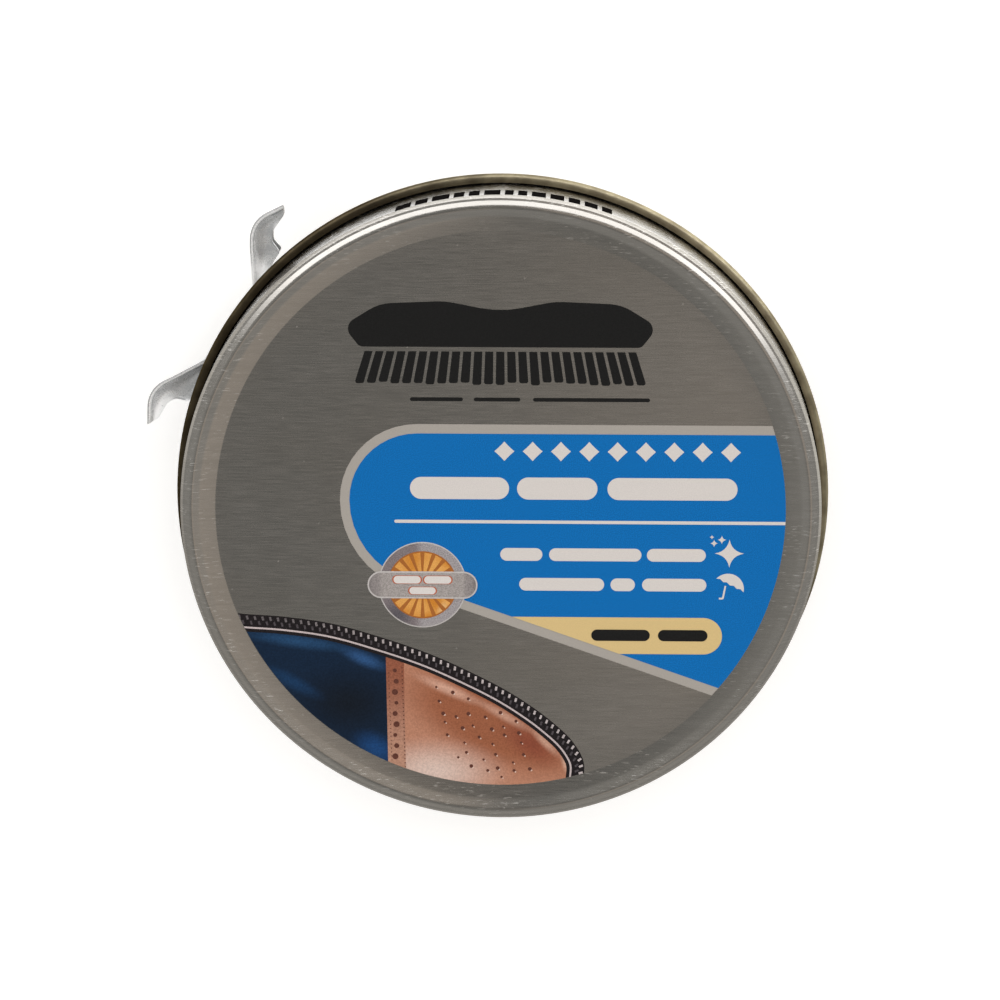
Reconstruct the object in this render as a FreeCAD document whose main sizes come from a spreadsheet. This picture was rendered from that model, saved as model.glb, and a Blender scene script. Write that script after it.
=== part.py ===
"""Round tinplate shoe polish tin: slip lid, drawn base, cake of wax polish, and a riveted twist opener.

Millimetres, +Z up. The origin is the centre of the stand ring's plane, so the tin stands on Z = 0, and the
tin's axis is Z. +Y is the top of the label. The opener sits on the wall at opener_bearing, counted from +X.
"""

import FreeCAD, Part
import Sketcher

import math
import os
from collections import namedtuple

from FreeCAD import Rotation, Vector

START, END, CENTRE = 1, 2, 3
ORIGIN = (-1, 1)
ACROSS_AXIS, UP_AXIS = -1, -2

DIMENSIONS = {
    # tinplate
    "gauge": 0.25,
    # lid: heights above the ground, radii from the tin's axis, bends on the outer face
    "lid_radius": 35.4,
    "panel_radius": 31.5,
    "panel_level": 21.3,
    "panel_crease": 0.25,
    "ring_radius": 33.75,
    "ring_rise": 0.3,
    "ring_bend": 0.3,
    "ridge_radius": 34.323,
    "ridge_apex": 22.255,
    "ridge_bend": 0.55,
    "shoulder_level": 21.178,
    "shoulder_bend": 0.3,
    "lid_curl_bend": 0.425,
    "lid_curl_level": 13.5,
    "lid_curl_sweep": 295,
    # base: the wall is a sliding fit in the skirt
    "slip_clearance": 0.12,
    "foot_bend": 2.6,
    "recess_radius": 30.4,
    "recess_depth": 0.5,
    "recess_slope": 0.6,
    "recess_bend": 0.3,
    "stand_bend": 0.5,
    "rim_curl_bend": 0.45,
    "rim_curl_level": 20.86,
    "rim_curl_sweep": 270,
    # cake of polish, shrunk a little from the wall as it set
    "wax_shrinkage": 0.06,
    "wax_step": 0.2,
    "wax_level": 14.0,
    "wax_dish": 0.12,
    "meniscus_height": 0.5,
    "meniscus_width": 0.9,
    "meniscus_bend": 1.2,
    # twist opener: distances out from the tin's axis and across from the rivet's axis
    "opener_bearing": 147.3,
    "rivet_level": 9.0,
    "key_gauge": 0.4,
    "key_height": 6.6,
    "plate_face": 35.75,
    "root_across": 3.68,
    "root_bend": 0.8,
    "elbow_face": 40.19,
    "elbow_across": 10.34,
    "elbow_bend": 1.5,
    "tip_face": 38.36,
    "tip_across": 14.85,
    "tip_bend": 0.18,
    "web_end": 0.8,
    "tip_inner_face": 38.1,
    "tip_inner_across": 13.5,
    "notch_face": 37.7,
    "notch_across": 10.95,
    "cam_across": 9.85,
    "cam_bend": 0.3,
    "boss_radius": 3.2,
    "boss_height": 0.2,
    "seat_radius": 2.8,
    # rivet
    "pivot_radius": 1.5,
    "pivot_clearance": 0.08,
    "tenon_radius": 1.2,
    "tenon_clearance": 0.03,
    "head_radius": 2.5,
    "head_thickness": 0.45,
    "head_edge": 0.28,
    "end_play": 0.03,
    "step_clearance": 0.02,
    "clinch_clearance": 0.12,
    "clinch_radius": 2.3,
    "clinch_thickness": 0.47,
    "clinch_edge": 0.2,
    "bore_radius": 0.7,
    "bore_depth": 1.15,
    "wax_room": 0.3,
}

# Places that follow from the dimensions, as formulas of the sheet's cells
BASE_RADIUS = "lid_radius - gauge - slip_clearance"
BASE_INSIDE = f"{BASE_RADIUS} - gauge"
PLATE_BACK = "plate_face - key_gauge"
HEAD_BACK = "plate_face - boss_height + end_play"
PIVOT_STEP = f"{BASE_RADIUS} + step_clearance"
CLINCH_FACE = f"{BASE_INSIDE} - clinch_clearance"
CLINCH_END = f"{CLINCH_FACE} - clinch_thickness"

Bend = namedtuple("Bend", "centre radius turn heading_in heading_out")

doc = FreeCAD.newDocument("shoe_polish_tin")
sheet = doc.addObject("Spreadsheet::Sheet", "Dimensions")
for row, (alias, number) in enumerate(DIMENSIONS.items(), start=1):
    sheet.set(f"A{row}", alias)
    sheet.set(f"B{row}", str(number))
    sheet.setAlias(f"B{row}", alias)
doc.recompute()


def dim(formula):
    """The formula with each alias written as the sheet's own cell."""
    words = formula.replace("(", "( ").replace(")", " )").split()
    return " ".join(f"Dimensions.{word}" if word in DIMENSIONS else word for word in words)


def value(formula):
    """What a formula of aliases comes to now."""
    return float(sheet.evalExpression(dim(formula)))


# ---------------------------------------------------------------------------------------------------------
# Sketching: outlines of straight runs joined by tangent arcs, each place and radius bound to the sheet
# ---------------------------------------------------------------------------------------------------------


def bind(sketch, constraint, formula):
    """Adds a constraint whose value is a formula of the sheet's cells."""
    index = sketch.addConstraint(constraint)
    sketch.setExpression(f"Constraints[{index}]", dim(formula))


def pin(sketch, geometry, end, across, up):
    """Holds a point at two formulas, measured from the sketch's origin."""
    here = sketch.getPoint(geometry, end)
    for kind, axis, at, formula in (
        ("DistanceX", UP_AXIS, here.x, across),
        ("DistanceY", ACROSS_AXIS, here.y, up),
    ):
        if formula == "0":
            sketch.addConstraint(Sketcher.Constraint("PointOnObject", geometry, end, axis))
        else:
            bind(sketch, Sketcher.Constraint(kind, *ORIGIN, geometry, end, at), formula)


def left_of(heading):
    return Vector(-heading.y, heading.x, 0)


def corner_bend(before, corner, after, radius):
    """The arc of one radius that rounds the corner between two straight runs."""
    heading_in = (corner - before).normalize()
    heading_out = (after - corner).normalize()
    turn = math.copysign(1, heading_in.cross(heading_out).z)
    reach = radius * math.tan(heading_in.getAngle(heading_out) / 2)
    centre = corner - heading_in * reach + left_of(heading_in) * (turn * radius)
    return Bend(centre, radius, turn, heading_in, heading_out)


def add_arc(sketch, bend):
    """Draws a bend. Gives its index and which of its ends the outline enters and leaves by."""
    entry = left_of(bend.heading_in) * -bend.turn
    leave = left_of(bend.heading_out) * -bend.turn
    first, last = (entry, leave) if bend.turn > 0 else (leave, entry)
    circle = Part.Circle(bend.centre, Vector(0, 0, 1), bend.radius)
    angles = [math.atan2(arm.y, arm.x) for arm in (first, last)]
    index = sketch.addGeometry(Part.ArcOfCircle(circle, *angles))
    return (index, START, END) if bend.turn > 0 else (index, END, START)


def run_chain(sketch, start, bends, finish):
    """Draws straight runs and the bends between them, tangent to each other. Gives both lists."""
    lines, arcs = [], []
    here = start
    for bend in bends:
        entry = bend.centre - left_of(bend.heading_in) * (bend.turn * bend.radius)
        lines.append(sketch.addGeometry(Part.LineSegment(here, entry)))
        arcs.append(add_arc(sketch, bend))
        here = bend.centre - left_of(bend.heading_out) * (bend.turn * bend.radius)
    lines.append(sketch.addGeometry(Part.LineSegment(here, finish)))
    for before, (arc, enters, leaves), after in zip(lines, arcs, lines[1:]):
        sketch.addConstraint(Sketcher.Constraint("Tangent", before, END, arc, enters))
        sketch.addConstraint(Sketcher.Constraint("Tangent", arc, leaves, after, START))
    return lines, arcs


def driven_chain(sketch, start, corners, finish):
    """A chain whose ends, corners (across, up, bend radius) and radii are formulas of the sheet."""
    places = [Vector(value(across), value(up), 0) for across, up, *_ in (start, *corners, finish)]
    bends = [
        corner_bend(*places[i : i + 3], value(radius)) for i, (_, _, radius) in enumerate(corners)
    ]
    lines, arcs = run_chain(sketch, places[0], bends, places[-1])
    pin(sketch, lines[0], START, *start)
    for i, (across, up, radius) in enumerate(corners):
        apex = sketch.addGeometry(Part.Point(places[i + 1]), True)
        pin(sketch, apex, START, across, up)
        sketch.addConstraint(Sketcher.Constraint("PointOnObject", apex, START, lines[i]))
        sketch.addConstraint(Sketcher.Constraint("PointOnObject", apex, START, lines[i + 1]))
        bind(sketch, Sketcher.Constraint("Radius", arcs[i][0], bends[i].radius), radius)
    return lines, arcs, bends


def closed_profile(sketch, start, corners, finish):
    """A rounded outline, closed by a straight edge from its finish to its start, or by the two meeting."""
    lines, _, _ = driven_chain(sketch, start, corners, finish)
    if start == finish:
        sketch.addConstraint(Sketcher.Constraint("Coincident", lines[-1], END, lines[0], START))
        return
    pin(sketch, lines[-1], END, *finish)
    join(sketch, (lines[-1], END), (lines[0], START))


def join(sketch, first, second):
    """A straight edge between two ends of the outline."""
    edge = sketch.addGeometry(Part.LineSegment(sketch.getPoint(*first), sketch.getPoint(*second)))
    sketch.addConstraint(Sketcher.Constraint("Coincident", edge, START, *first))
    sketch.addConstraint(Sketcher.Constraint("Coincident", edge, END, *second))
    return edge


def bent_sheet(sketch, start, corners, finish, gauge, metal, curl=None):
    """Section of bent sheet metal, with the corners of one face; the other lies gauge to the metal's side.

    metal is +1 with the metal on the left of the run and -1 on its right. curl, where the sheet ends in one,
    is its radius on the first face and its sweep in degrees; a curl always turns left.
    """
    lines, arcs, bends = driven_chain(sketch, start, corners, finish)
    pin(sketch, lines[-1], END, *finish)
    thick = value(gauge)
    sides = ["-" if bend.turn * metal > 0 else "+" for bend in bends]
    far_bends = [
        bend._replace(radius=bend.radius - thick if side == "-" else bend.radius + thick)
        for bend, side in zip(bends, sides)
    ]
    ends = [
        sketch.getPoint(lines[0], START) + left_of(bends[0].heading_in) * (metal * thick),
        sketch.getPoint(lines[-1], END) + left_of(bends[-1].heading_out) * (metal * thick),
    ]
    far_lines, far_arcs = run_chain(sketch, ends[0], far_bends, ends[1])
    for near, far, side, (*_, radius) in zip(arcs, far_arcs, sides, corners):
        sketch.addConstraint(Sketcher.Constraint("Coincident", near[0], CENTRE, far[0], CENTRE))
        now = value(f"{radius} {side} {gauge}")
        bind(sketch, Sketcher.Constraint("Radius", far[0], now), f"{radius} {side} {gauge}")
    sketch.addConstraint(Sketcher.Constraint("Parallel", lines[0], far_lines[0]))
    cap = join(sketch, (lines[0], START), (far_lines[0], START))
    sketch.addConstraint(Sketcher.Constraint("Perpendicular", cap, lines[0]))
    if curl is None:
        sketch.addConstraint(Sketcher.Constraint("Parallel", lines[-1], far_lines[-1]))
        cap = join(sketch, (lines[-1], END), (far_lines[-1], END))
        sketch.addConstraint(Sketcher.Constraint("Perpendicular", cap, lines[-1]))
        return
    add_curl(sketch, (lines[-1], far_lines[-1]), bends[-1].heading_out, gauge, metal, *curl)


def add_curl(sketch, lines, heading, gauge, metal, radius, sweep):
    """Ends both faces of a sheet in a curl about one centre."""
    turned = Rotation(Vector(0, 0, 1), value(sweep)).multVec(heading)
    centre = sketch.getPoint(lines[0], END) + left_of(heading) * value(radius)
    far_radius = f"{radius} - {gauge}" if metal > 0 else f"{radius} + {gauge}"
    arcs = []
    for line, size in zip(lines, (radius, far_radius)):
        arc, enters, leaves = add_arc(sketch, Bend(centre, value(size), 1, heading, turned))
        sketch.addConstraint(Sketcher.Constraint("Tangent", line, END, arc, enters))
        bind(sketch, Sketcher.Constraint("Radius", arc, value(size)), size)
        arcs.append((arc, leaves))
    sketch.addConstraint(Sketcher.Constraint("Coincident", arcs[0][0], CENTRE, arcs[1][0], CENTRE))
    cap = join(sketch, *arcs)
    sketch.addConstraint(Sketcher.Constraint("PointOnObject", arcs[0][0], CENTRE, cap))
    tilt = value(f"{sweep} - 180")
    bind(sketch, Sketcher.Constraint("Angle", cap, math.radians(tilt)), f"{sweep} - 180")


# ---------------------------------------------------------------------------------------------------------
# Bodies and features
# ---------------------------------------------------------------------------------------------------------


def new_body(name, level="0", bearing="0"):
    """A body that is modelled with the rivet's axis along its own X, then turned and raised into place."""
    body = doc.addObject("PartDesign::Body", name)
    body.Label = name
    body.Placement.Rotation = Rotation(Vector(0, 0, 1), 1)
    body.setExpression("Placement.Base.z", dim(level))
    body.setExpression("Placement.Rotation.Angle", dim(bearing))
    return body


def new_sketch(body, name, plane, offset="0"):
    """A sketch on one of the body's own origin planes, moved along the plane's normal by a formula."""
    sketch = body.newObject("Sketcher::SketchObject", name)
    support = next(f for f in body.Origin.OriginFeatures if f.Role == plane)
    sketch.AttachmentSupport = [(support, "")]
    sketch.MapMode = "FlatFace"
    if offset != "0":
        sketch.setExpression("AttachmentOffset.Base.z", dim(offset))
    doc.recompute()
    return sketch


def revolve(body, sketch, axis):
    feature = body.newObject("PartDesign::Revolution", f"{sketch.Name}_turned")
    feature.Profile = sketch
    feature.ReferenceAxis = (sketch, [axis])
    feature.Angle = 360
    doc.recompute()


def extrude(body, sketch, length, symmetric=False):
    """A Pad of a sketch, to a length that is a formula."""
    feature = body.newObject("PartDesign::Pad", f"{sketch.Name}_pad")
    feature.Profile = sketch
    feature.SideType = "Symmetric" if symmetric else "One side"
    feature.setExpression("Length", dim(length))
    doc.recompute()


def cut_outwards(body, sketch):
    """A Pocket from a sketch's plane out past everything that stands outside it on the rivet's side."""
    before = body.Shape.Volume
    feature = body.newObject("PartDesign::Pocket", f"{sketch.Name}_pocket")
    feature.Profile = sketch
    feature.Reversed = True
    feature.setExpression("Length", dim("2 * lid_radius"))
    doc.recompute()
    if not body.Shape.Volume < before:
        raise RuntimeError(f"{feature.Name} cuts nothing")


def circle_sketch(body, name, radius, offset="0", level="0"):
    """A circle on a plane across the rivet's axis. Its radius, level and distance out are formulas."""
    sketch = new_sketch(body, name, "YZ_Plane", offset)
    centre = Vector(0, value(level), 0)
    circle = sketch.addGeometry(Part.Circle(centre, Vector(0, 0, 1), value(radius)))
    pin(sketch, circle, CENTRE, "0", level)
    bind(sketch, Sketcher.Constraint("Radius", circle, value(radius)), radius)
    return sketch


def build_lid_shell():
    """One pressed sheet: panel, conical ring, ridge, chamfered shoulder, skirt, and outward curl."""
    body = new_body("lid_shell")
    sketch = new_sketch(body, "lid_section", "XZ_Plane")
    bent_sheet(
        sketch,
        start=("0", "panel_level"),
        corners=[
            ("panel_radius", "panel_level", "panel_crease"),
            ("ring_radius", "panel_level + ring_rise", "ring_bend"),
            ("ridge_radius", "ridge_apex", "ridge_bend"),
            ("lid_radius", "shoulder_level", "shoulder_bend"),
        ],
        finish=("lid_radius", "lid_curl_level"),
        gauge="gauge",
        metal=-1,
        curl=("lid_curl_bend", "lid_curl_sweep"),
    )
    revolve(body, sketch, "V_Axis")
    return body


def build_base_shell():
    """One drawn sheet: recessed bottom, stand ring, rounded foot, wall, inward rim curl, rivet hole."""
    body = new_body("base_shell", bearing="opener_bearing")
    sketch = new_sketch(body, "base_section", "XZ_Plane")
    bent_sheet(
        sketch,
        start=("0", "recess_depth"),
        corners=[
            ("recess_radius", "recess_depth", "recess_bend"),
            ("recess_radius + recess_slope", "0", "stand_bend"),
            (BASE_RADIUS, "0", "foot_bend"),
        ],
        finish=(BASE_RADIUS, "rim_curl_level"),
        gauge="gauge",
        metal=1,
        curl=("rim_curl_bend", "rim_curl_sweep"),
    )
    revolve(body, sketch, "V_Axis")
    hole = circle_sketch(body, "rivet_hole", "tenon_radius + tenon_clearance", level="rivet_level")
    cut_outwards(body, hole)
    return body


def build_wax_cake():
    """The polish as it set: it fills the base to a slightly dished top with a raised edge at the wall."""
    body = new_body("wax_cake", bearing="opener_bearing")
    sketch = new_sketch(body, "wax_section", "XZ_Plane")
    wall = f"{BASE_INSIDE} - wax_shrinkage"
    groove = "gauge + wax_shrinkage"
    closed_profile(
        sketch,
        start=("0", "recess_depth + gauge"),
        corners=[
            ("recess_radius + wax_step", "recess_depth + gauge", "recess_bend"),
            ("recess_radius + recess_slope + wax_step", groove, "recess_bend"),
            (wall, groove, "foot_bend - gauge - wax_shrinkage"),
            (wall, "wax_level + wax_dish + meniscus_height", "wax_shrinkage"),
            (f"{wall} - meniscus_width", "wax_level + wax_dish", "meniscus_bend"),
        ],
        finish=("0", "wax_level"),
    )
    revolve(body, sketch, "V_Axis")
    room = circle_sketch(
        body, "clinch_room", "clinch_radius + wax_room", f"{CLINCH_END} - wax_room", "rivet_level"
    )
    cut_outwards(body, room)
    return body


def both_sides(corners):
    """Corners (out, across, bend) of the wing on the positive side, then their mirror images, as one run."""
    return corners + [(out, f"0 - ( {across} )", bend) for out, across, bend in reversed(corners)]


def wing_outline(sketch):
    """The flange's outline in plan. Its run starts and ends in the middle of the edge that faces the tin."""
    middle = (PLATE_BACK, "0")
    wing = [
        (PLATE_BACK, "cam_across", "cam_bend"),
        ("notch_face", "notch_across", "cam_bend"),
        ("tip_inner_face", "tip_inner_across", "cam_bend"),
        ("tip_face", "tip_across", "tip_bend"),
        ("elbow_face", "elbow_across", "elbow_bend"),
        ("plate_face", "root_across", "root_bend"),
    ]
    closed_profile(sketch, middle, both_sides(wing), middle)


def build_opener_key():
    """Pressed steel: a plate on the rivet, and two wings whose flanged web steps out past the curl."""
    body = new_body("opener_key", level="rivet_level", bearing="opener_bearing")
    web = new_sketch(body, "web", "XY_Plane")
    path = both_sides(
        [
            ("elbow_face", "elbow_across", "elbow_bend"),
            ("plate_face", "root_across", "root_bend"),
        ]
    )
    tip = [
        f"elbow_{way} + web_end * (tip_{way} - elbow_{way})" for way in ("face", "across")
    ]
    far_tip = [tip[0], f"0 - ( {tip[1]} )"]
    bent_sheet(web, tip, path, far_tip, gauge="key_gauge", metal=-1)
    extrude(body, web, "key_height", symmetric=True)
    for name, level in (
        ("top_flange", "key_height / 2 - key_gauge"),
        ("bottom_flange", "0 - key_height / 2"),
    ):
        flange = new_sketch(body, name, "XY_Plane", level)
        wing_outline(flange)
        extrude(body, flange, "key_gauge")
    boss = circle_sketch(body, "boss", "boss_radius", f"{PLATE_BACK} - boss_height")
    extrude(body, boss, "boss_height + key_gauge / 4")
    cut_outwards(body, circle_sketch(body, "seat", "seat_radius", "plate_face - boss_height"))
    cut_outwards(body, circle_sketch(body, "pivot_hole", "pivot_radius + pivot_clearance"))
    return body


def build_opener_rivet():
    """Shouldered semi-tubular rivet: the key turns on its pivot; its tenon is clinched inside the wall."""
    body = new_body("opener_rivet", level="rivet_level", bearing="opener_bearing")
    sketch = new_sketch(body, "rivet_section", "XZ_Plane")
    bore_end = f"{CLINCH_END} + bore_depth"
    crisp = "end_play"
    closed_profile(
        sketch,
        start=(bore_end, "0"),
        corners=[
            (bore_end, "bore_radius", "clinch_edge"),
            (CLINCH_END, "bore_radius", "clinch_edge"),
            (CLINCH_END, "clinch_radius", "clinch_edge"),
            (CLINCH_FACE, "clinch_radius", crisp),
            (CLINCH_FACE, "tenon_radius", crisp),
            (PIVOT_STEP, "tenon_radius", crisp),
            (PIVOT_STEP, "pivot_radius", crisp),
            (HEAD_BACK, "pivot_radius", crisp),
            (HEAD_BACK, "head_radius", crisp),
            (f"{HEAD_BACK} + head_thickness", "head_radius", "head_edge"),
        ],
        finish=(f"{HEAD_BACK} + head_thickness", "0"),
    )
    revolve(body, sketch, "H_Axis")
    return body


def check(bodies):
    """Stops if any object of the document failed, or a sub-part is not one valid solid."""
    failed = [o.Name for o in doc.Objects if {"Invalid", "Error"} & set(o.State)]
    if failed:
        raise RuntimeError(f"failed objects: {failed}")
    for body in bodies:
        shape = body.Shape
        if shape.isNull() or not shape.isValid() or len(shape.Solids) != 1:
            raise RuntimeError(f"{body.Label} is not one valid solid")


parts = [
    build_lid_shell(),
    build_base_shell(),
    build_wax_cake(),
    build_opener_key(),
    build_opener_rivet(),
]
doc.recompute()
check(parts)
os.makedirs("parts", exist_ok=True)
for part in parts:
    part.Shape.exportStep(os.path.join("parts", f"{part.Label}.step"))
    print(f"{part.Label}: {part.Shape.Volume:.1f} mm3, {part.Shape.BoundBox}")
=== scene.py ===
import math
import random

import bmesh
import bpy
from mathutils import Matrix, Quaternion, Vector


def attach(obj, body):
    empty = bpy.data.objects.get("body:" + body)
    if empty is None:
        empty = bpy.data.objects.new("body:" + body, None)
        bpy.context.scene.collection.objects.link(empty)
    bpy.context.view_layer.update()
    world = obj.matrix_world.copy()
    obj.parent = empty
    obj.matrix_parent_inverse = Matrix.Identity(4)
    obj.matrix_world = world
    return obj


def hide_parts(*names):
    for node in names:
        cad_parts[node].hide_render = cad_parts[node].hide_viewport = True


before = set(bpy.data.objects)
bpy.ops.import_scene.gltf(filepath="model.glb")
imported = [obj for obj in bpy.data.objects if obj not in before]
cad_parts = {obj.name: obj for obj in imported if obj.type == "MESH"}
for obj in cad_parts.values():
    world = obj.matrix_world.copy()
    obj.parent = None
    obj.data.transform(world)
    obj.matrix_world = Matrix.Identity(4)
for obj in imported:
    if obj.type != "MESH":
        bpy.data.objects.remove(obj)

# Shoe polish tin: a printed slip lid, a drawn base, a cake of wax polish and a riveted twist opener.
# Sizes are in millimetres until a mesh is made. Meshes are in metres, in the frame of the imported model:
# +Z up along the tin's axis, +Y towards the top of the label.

bpy.context.view_layer.update()

MM = 0.001
TURN = 2 * math.pi

# Tinplate, as the CAD draws it
GAUGE = 0.25
PANEL_LEVEL = 21.3
PANEL_RADIUS = 31.5
LID_RADIUS = 35.4
LID_CURL_LEVEL = 13.5
LID_CURL_BEND = 0.425
BASE_RADIUS = 35.03
BOTTOM_RADIUS = 30.4
BOTTOM_RECESS = 0.5
FOOT_BEND = 2.6
RIM_CURL_LEVEL = 20.86
RIM_CURL_BEND = 0.45
WAX_RADIUS = 34.72
WAX_LEVEL = 14.0

# Twist opener: out from the tin's axis, across from the rivet's axis
OPENER_BEARING = math.radians(147.3)
RIVET_LEVEL = 9.0
KEY_GAUGE = 0.4
KEY_HALF_HEIGHT = 3.3
PLATE_FACE = 35.75
BOSS_RADIUS = 3.2
BOSS_HEIGHT = 0.2
SEAT_RADIUS = 2.8
PIVOT_HOLE_RADIUS = 1.58
TENON_HOLE_RADIUS = 1.23
CLINCH_ROOM_RADIUS = 2.6
CLINCH_ROOM_FACE = 33.89
PLATE_HALF_WIDTH = 3.4
WING_SKEW = 0.35
KEY_SMOOTH_ANGLE = 38

# Studio: STUDIO_LEVEL is how bright a white surface shows under it
OVERHEAD_POWER = 19
STUDIO_LEVEL = 1.25
WINDOW_BEARING = math.radians(85)
CAMERA_TILT = math.radians(14.1)
CAMERA_BEARING = math.radians(84)
CAMERA_DISTANCE = 450 * MM
CAMERA_ROLL = math.radians(0.35)
CAMERA_LENS = 146.9
FLOOR_HALF_SIZE = 3000


# ---- Outlines ----

ARC_STEP = math.radians(9)


def clamp(value):
    return max(0.0, min(1.0, value))


def direction(angle):
    return Vector((math.cos(angle), math.sin(angle)))


def arc(centre, radius, start, sweep, step=ARC_STEP):
    """Points along an arc, both ends included. Angles in radians, anticlockwise."""
    count = max(2, math.ceil(abs(sweep) / step))
    return [Vector(centre) + radius * direction(start + sweep * i / count) for i in range(count + 1)]


def circle(centre, radius, count=48):
    return arc(centre, radius, 0, TURN, TURN / count)[:-1]


def rounded(corners, closed=False):
    """Points along straight runs. A corner given as (x, y, radius) is rounded by a tangent arc."""
    points = []
    for i, (x, y, *bend) in enumerate(corners):
        corner = Vector((x, y))
        if not bend or (not closed and i in (0, len(corners) - 1)):
            points.append(corner)
            continue
        heading_in = (corner - Vector(corners[i - 1][:2])).normalized()
        heading_out = (Vector(corners[(i + 1) % len(corners)][:2]) - corner).normalized()
        turn = heading_in.angle_signed(heading_out) * -1
        reach = bend[0] * math.tan(abs(turn) / 2)
        side = math.copysign(1, turn)
        left = Vector((-heading_in.y, heading_in.x))
        centre = corner - heading_in * reach + left * side * bend[0]
        start = math.atan2(-left.y * side, -left.x * side)
        points += arc(centre, bend[0], start, turn)
    return points


def offset(points, distance):
    """A run moved sideways by a distance, to its left if positive, with mitred corners."""
    moved = []
    for i, here in enumerate(points):
        before = (here - points[i - 1]).normalized() if i else None
        after = (points[i + 1] - here).normalized() if i + 1 < len(points) else None
        before, after = before or after, after or before
        heading = (before + after).normalized()
        left = Vector((-heading.y, heading.x))
        moved.append(here + left * distance / max(0.2, heading.dot(before)))
    return moved


def lengths(points):
    """How far along a run each of its points lies."""
    travelled = [0.0]
    for a, b in zip(points, points[1:]):
        travelled.append(travelled[-1] + (b - a).length)
    return travelled


def resampled(points, count):
    """The run as count points at even spacing, both ends kept."""
    travelled = lengths(points)
    out, i = [], 0
    for k in range(count):
        target = travelled[-1] * k / (count - 1)
        while i < len(points) - 2 and travelled[i + 1] < target:
            i += 1
        share = (target - travelled[i]) / max(travelled[i + 1] - travelled[i], 1e-9)
        out.append(points[i].lerp(points[i + 1], share))
    return out


def clipped(outline, window):
    """The part of an outline that lies inside a convex window drawn anticlockwise."""
    kept = [Vector(p) for p in outline]
    for a, b in zip(window, window[1:] + window[:1]):
        edge = b - a
        side = [edge.x * (p.y - a.y) - edge.y * (p.x - a.x) for p in kept]
        inside = []
        for i, p in enumerate(kept):
            q, here, there = kept[(i + 1) % len(kept)], side[i], side[(i + 1) % len(kept)]
            if here >= 0:
                inside.append(p)
            if here * there < 0:
                inside.append(p.lerp(q, here / (here - there)))
        kept = inside
        if not kept:
            break
    return kept


def bar(left, right, middle, height, ends=0.5):
    """A level bar with rounded ends. ends is the corner radius over the height."""
    half, bend = height / 2, height * ends * 0.999
    corners = [(left, middle - half), (right, middle - half), (right, middle + half), (left, middle + half)]
    return rounded([(x, y, bend) for x, y in corners], closed=True)


# ---- Meshes ----


def smooth(mesh, angle):
    """Shades a mesh smooth, but for edges that turn by more than an angle in degrees."""
    mesh.shade_smooth()
    mesh.set_sharp_from_angle(angle=math.radians(angle))


def placed(name, data):
    """A new object in the scene."""
    made = bpy.data.objects.new(name, data)
    bpy.context.scene.collection.objects.link(made)
    return made


def finish_mesh(name, bm, materials, body, smooth_angle=None):
    """Makes the object of a closed mesh drawn in millimetres, and lets it ride on a body."""
    bmesh.ops.remove_doubles(bm, verts=bm.verts, dist=1e-5)
    bmesh.ops.recalc_face_normals(bm, faces=bm.faces)
    bmesh.ops.scale(bm, vec=(MM, MM, MM), verts=bm.verts)
    mesh = bpy.data.meshes.new(name)
    bm.to_mesh(mesh)
    bm.free()
    for material in materials:
        mesh.materials.append(material)
    if smooth_angle:
        smooth(mesh, smooth_angle)
    piece = placed(name, mesh)
    if body:
        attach(piece, body)
    return piece


def lathe(name, section, finishes, reach, materials, body, segments=240, shift=None):
    """Turns a closed section of (radius, level) points about the tin's axis.

    finishes holds the material's index of the band after each point. reach is how far each point lies from
    the centre along the flat sheet, which gives the sheet map: the place on the sheet before it was pressed.
    shift moves a point: it takes radius, level and bearing, and gives the new radius and level.
    """
    bm = bmesh.new()
    sheet_map = bm.loops.layers.uv.new("sheet")
    bearings = [TURN * k / segments for k in range(segments)]
    rings = []
    for radius, level in section:
        if radius < 1e-6:
            rings.append([bm.verts.new((0, 0, level))] * segments)
            continue
        places = [shift(radius, level, b) if shift else (radius, level) for b in bearings]
        ring = [(r * math.cos(b), r * math.sin(b), z) for (r, z), b in zip(places, bearings)]
        rings.append([bm.verts.new(place) for place in ring])
    for i, near in enumerate(rings):
        far, next_i = rings[(i + 1) % len(rings)], (i + 1) % len(rings)
        for k in range(segments):
            k2 = (k + 1) % segments
            corners = [(near[k], i, k), (near[k2], i, k2), (far[k2], next_i, k2), (far[k], next_i, k)]
            unique = [c for n, c in enumerate(corners) if c[0] not in [other[0] for other in corners[:n]]]
            if len(unique) < 3:
                continue
            face = bm.faces.new([corner[0] for corner in unique])
            face.material_index = finishes[i]
            for loop, (_, ring, spoke) in zip(face.loops, unique):
                loop[sheet_map].uv = (
                    reach[ring] * MM * math.cos(bearings[spoke]),
                    reach[ring] * MM * math.sin(bearings[spoke]),
                )
    return finish_mesh(name, bm, materials, body, smooth_angle=35)


def sheet_section(outer_run, gauge_side):
    """Closed section, finishes and reach of bent sheet. Its first face is the run. The other has finish 1."""
    inner_run = offset(outer_run, gauge_side * GAUGE)
    if outer_run[0].x < 1e-6:
        inner_run[0].x = 0
    travelled = lengths(outer_run)
    section = [tuple(p) for p in outer_run + inner_run[::-1]]
    finishes = [0] * (len(outer_run) - 1) + [1] * (len(inner_run) + 1)
    return section, finishes, travelled + travelled[::-1]


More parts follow.
